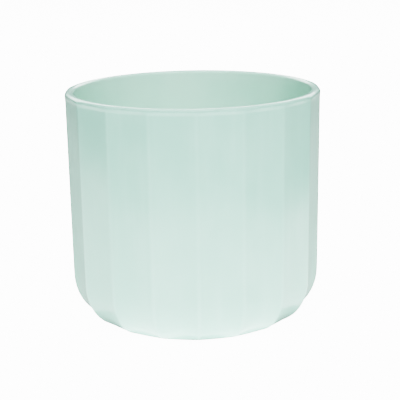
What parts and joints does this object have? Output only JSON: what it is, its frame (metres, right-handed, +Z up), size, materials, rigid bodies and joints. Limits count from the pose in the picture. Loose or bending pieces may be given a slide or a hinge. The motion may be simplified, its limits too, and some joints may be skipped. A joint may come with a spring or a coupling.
{
  "type": "brush holder pot",
  "caption": "Open round ceramic pot with upright panels, a rounded lip and a rounded bottom corner, which holds brushes and pens upright on a desk.",
  "frame": {"origin": "centre of the foot ring's resting plane", "axes": "+Z up along the pot's axis of revolution; one of the ridges between panels stands exactly on the -Y side"},
  "size_m": [0.12, 0.12, 0.109],
  "materials": {
    "mint_glaze": "satin gloss glaze"
  },
  "bodies": {
    "root": {"pot_body": "mint_glaze"}
  },
  "joints": []
}
